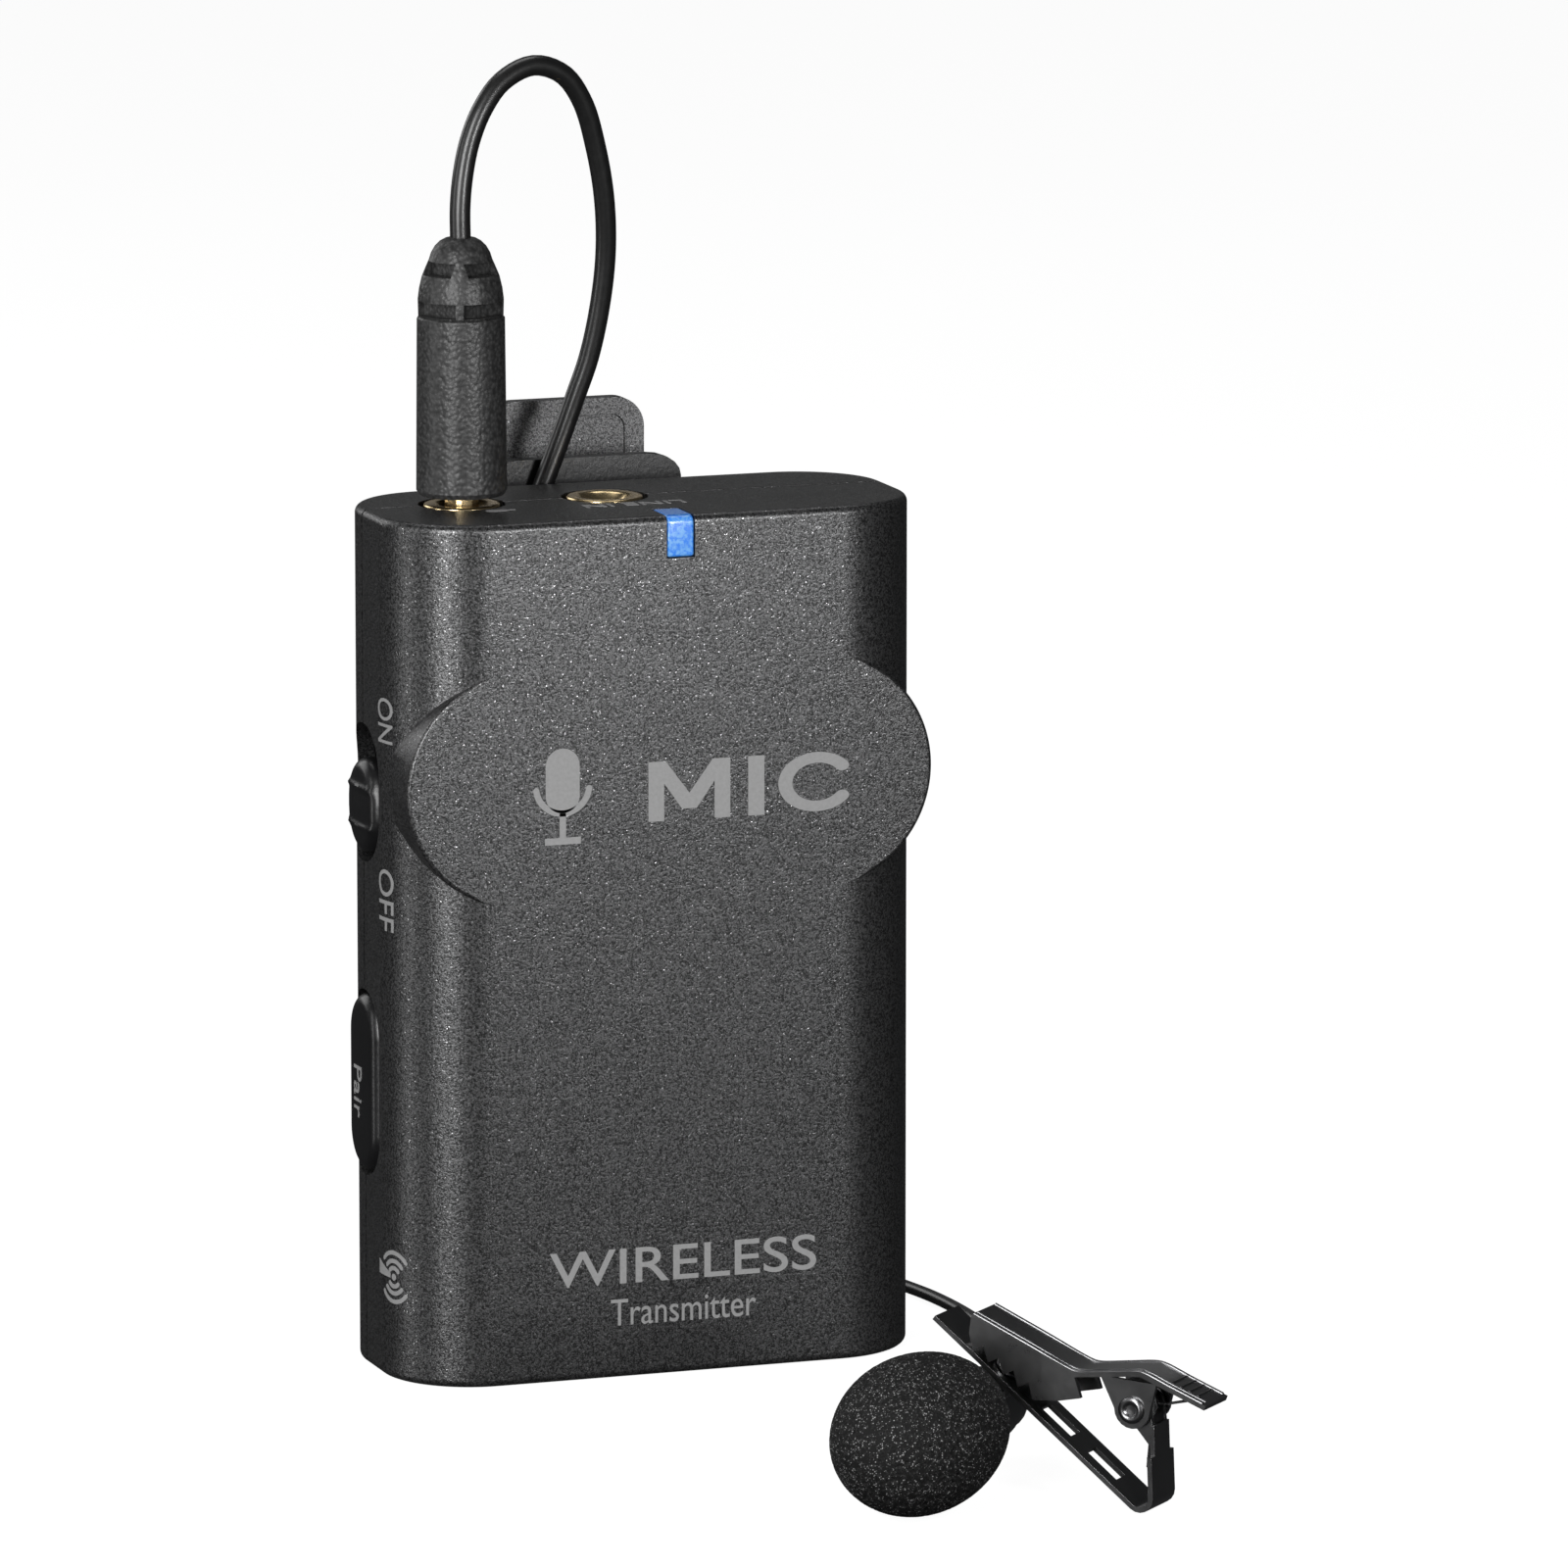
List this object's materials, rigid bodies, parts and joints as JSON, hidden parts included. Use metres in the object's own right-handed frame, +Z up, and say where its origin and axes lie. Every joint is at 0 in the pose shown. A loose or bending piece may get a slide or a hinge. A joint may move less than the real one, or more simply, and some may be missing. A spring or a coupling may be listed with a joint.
{
  "type": "wireless lavalier microphone",
  "caption": "Body-pack transmitter with belt clip, keys and battery door, a corded clip-on microphone with foam windscreen and tie clip.",
  "frame": {"origin": "middle of the transmitter's base, on the surface it stands on", "axes": "+Z up the transmitter, -Y out of its front face, +X to the right seen from the front"},
  "size_m": [0.0658, 0.1364, 0.1328],
  "materials": {
    "case": "satin graphite paint with a fine metallic sparkle",
    "keys": "satin black moulded plastic",
    "clip_plate": "fine-grained grey plastic",
    "gold": "polished gold plate",
    "steel": "nickel-plated steel",
    "inner_plastic": "black moulded plastic",
    "board": "green solder mask",
    "battery": "plain printed cell sleeve",
    "light": "clear blue light pipe",
    "lead": "soft black sleeve and overmould",
    "tie": "black hook-and-loop band",
    "black_metal": "gloss black nickel",
    "foam": "open-cell black foam"
  },
  "bodies": {
    "root": {"front_shell": "case", "rear_shell": "case", "case_screw_1": "steel", "case_screw_2": "steel", "case_screw_3": "steel", "case_screw_4": "steel", "light_pipe": "light", "power_switch_body": "steel", "pair_switch_body": "steel", "mic_jack_ring": "gold", "mic_jack_body": "inner_plastic", "line_jack_ring": "gold", "line_jack_body": "inner_plastic", "circuit_board": "board", "radio_shield": "steel", "antenna": "gold", "battery_tray": "inner_plastic", "battery_1": "battery", "battery_2": "battery", "battery_spring_1": "steel", "battery_spring_2": "steel", "belt_clip_bracket": "keys", "bracket_screw_1": "steel", "bracket_screw_2": "steel", "belt_clip_pin": "steel", "belt_clip_spring": "steel", "plug_barrel": "lead", "plug_boot": "lead", "plug_contact": "gold", "cord_loop": "lead", "cord_coil": "lead", "coil_tie": "tie", "cord_tail": "lead", "mic_clasp": "black_metal", "clasp_rivet": "black_metal", "mic_capsule_body": "black_metal", "mic_grille": "steel", "mic_element": "gold", "mic_cable_boot": "lead"},
    "battery_door": {"battery_door": "case"},
    "power_switch": {"power_switch_knob": "keys"},
    "pair_key": {"pair_button": "keys"},
    "belt_lever": {"belt_clip_lever": "clip_plate"},
    "foam": {"foam_windscreen": "foam"},
    "clip_strap": {"clip_lower_strap": "black_metal", "clip_hinge_pin": "black_metal", "clip_spring": "steel"},
    "clip_jaw": {"clip_upper_jaw": "black_metal"}
  },
  "joints": [
    {"name": "power_switch_slide", "type": "slide", "parent": "root", "child": "power_switch", "axis": [0, 0, 1], "range_m": [0, 0.0022]},
    {"name": "pair_button_press", "type": "slide", "parent": "root", "child": "pair_key", "axis": [1, 0, 0], "range_m": [0, 0.0005], "stiffness_N_per_m": 60, "springref_m": -0.001},
    {"name": "battery_door_slide", "type": "slide", "parent": "root", "child": "battery_door", "axis": [0, 0, -1], "range_m": [0, 0.006]},
    {"name": "belt_clip_hinge", "type": "hinge", "parent": "root", "child": "belt_lever", "pos_m": [0, 0.0192, 0.084], "axis": [1, 0, 0], "range_deg": [0, 16], "stiffness_Nm_per_rad": 0.05, "springref_deg": -28.65, "deforming": ["belt_clip_spring"]},
    {"name": "foam_pull", "type": "slide", "parent": "root", "child": "foam", "axis": [-0.7314, -0.682, 0], "range_m": [0, 0.02]},
    {"name": "mic_clip_swivel", "type": "hinge", "parent": "root", "child": "clip_strap", "pos_m": [0.01435, -0.07015, 0.01166], "axis": [-0.4161, 0.4462, -0.7923], "range_deg": [-10, 10]},
    {"name": "tie_clip_hinge", "type": "hinge", "parent": "clip_strap", "child": "clip_jaw", "pos_m": [0.02448, -0.08101, 0.01015], "axis": [0.7314, 0.682, 0], "range_deg": [0, 22], "stiffness_Nm_per_rad": 0.005, "springref_deg": -28.65, "deforming": ["clip_spring"]}
  ]
}
